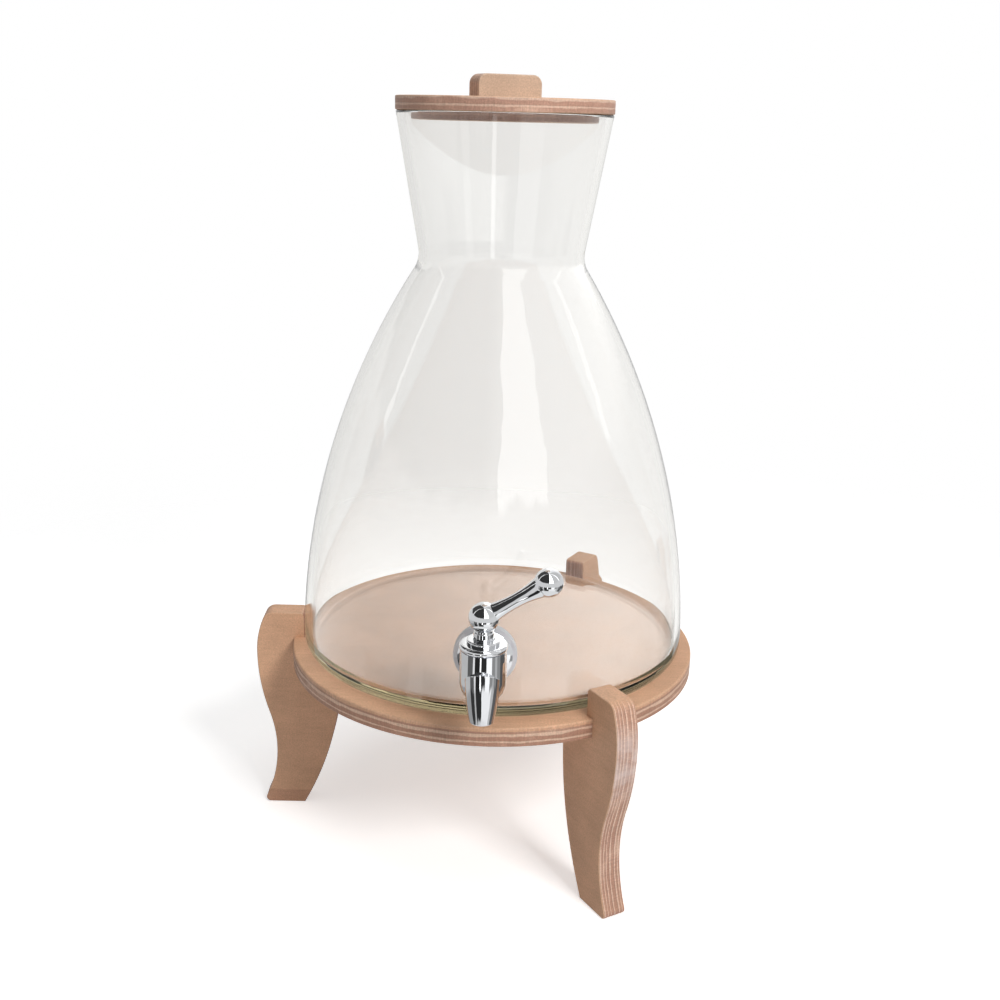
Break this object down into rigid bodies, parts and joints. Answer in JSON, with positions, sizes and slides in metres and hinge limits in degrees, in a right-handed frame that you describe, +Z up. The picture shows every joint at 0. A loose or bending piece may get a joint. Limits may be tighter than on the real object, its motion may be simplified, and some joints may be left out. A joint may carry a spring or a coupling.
{
  "type": "glass drink dispenser with tap on wooden stand",
  "caption": "Bell-shaped glass dispenser with flared neck, plywood lid and quarter-turn lever tap, resting on a plywood disc stand with curved legs.",
  "frame": {"origin": "on the vessel's axis at floor level, in the middle between the three feet", "axes": "+Z up along the vessel's axis, -Y towards the tap, +X to the right of someone facing the tap"},
  "size_m": [0.2846, 0.3037, 0.4744],
  "materials": {
    "plywood": "sanded birch-type plywood with a thin matt lacquer, plies showing on every cut edge",
    "clear_glass": "clear blown soda-lime glass, faintly grey, glossy",
    "tap_chrome": "mirror chrome plating",
    "clear_silicone": "milky translucent silicone, satin",
    "ring_rubber": "black nitrile rubber, satin",
    "moulded_plastic": "off-white moulded plastic, fine satin",
    "screw_steel": "zinc-plated steel"
  },
  "bodies": {
    "stand": {"stand_disc": "plywood", "leg_left": "plywood", "leg_right": "plywood", "leg_rear": "plywood"},
    "vessel": {"glass_vessel": "clear_glass", "tap_body": "tap_chrome", "tap_bonnet": "tap_chrome", "slip_washer": "moulded_plastic", "outer_gasket": "clear_silicone", "inner_gasket": "clear_silicone", "inner_washer": "moulded_plastic", "lock_nut": "moulded_plastic"},
    "lid": {"lid_disc": "plywood", "lid_plug": "plywood", "lid_handle": "plywood", "lid_screws": "screw_steel"},
    "lever": {"tap_lever": "tap_chrome", "valve_plug": "moulded_plastic", "plug_ring_upper": "ring_rubber", "plug_ring_lower": "ring_rubber"}
  },
  "joints": [
    {"name": "vessel_lift", "type": "slide", "parent": "stand", "child": "vessel", "axis": [0, 0, 1], "range_m": [0, 0.12]},
    {"name": "lid_lift", "type": "slide", "parent": "vessel", "child": "lid", "axis": [0, 0, 1], "range_m": [0, 0.1]},
    {"name": "lever_turn", "type": "hinge", "parent": "vessel", "child": "lever", "pos_m": [0, -0.14891, 0.1626], "axis": [0, 0, 1], "range_deg": [-90, 0]}
  ]
}
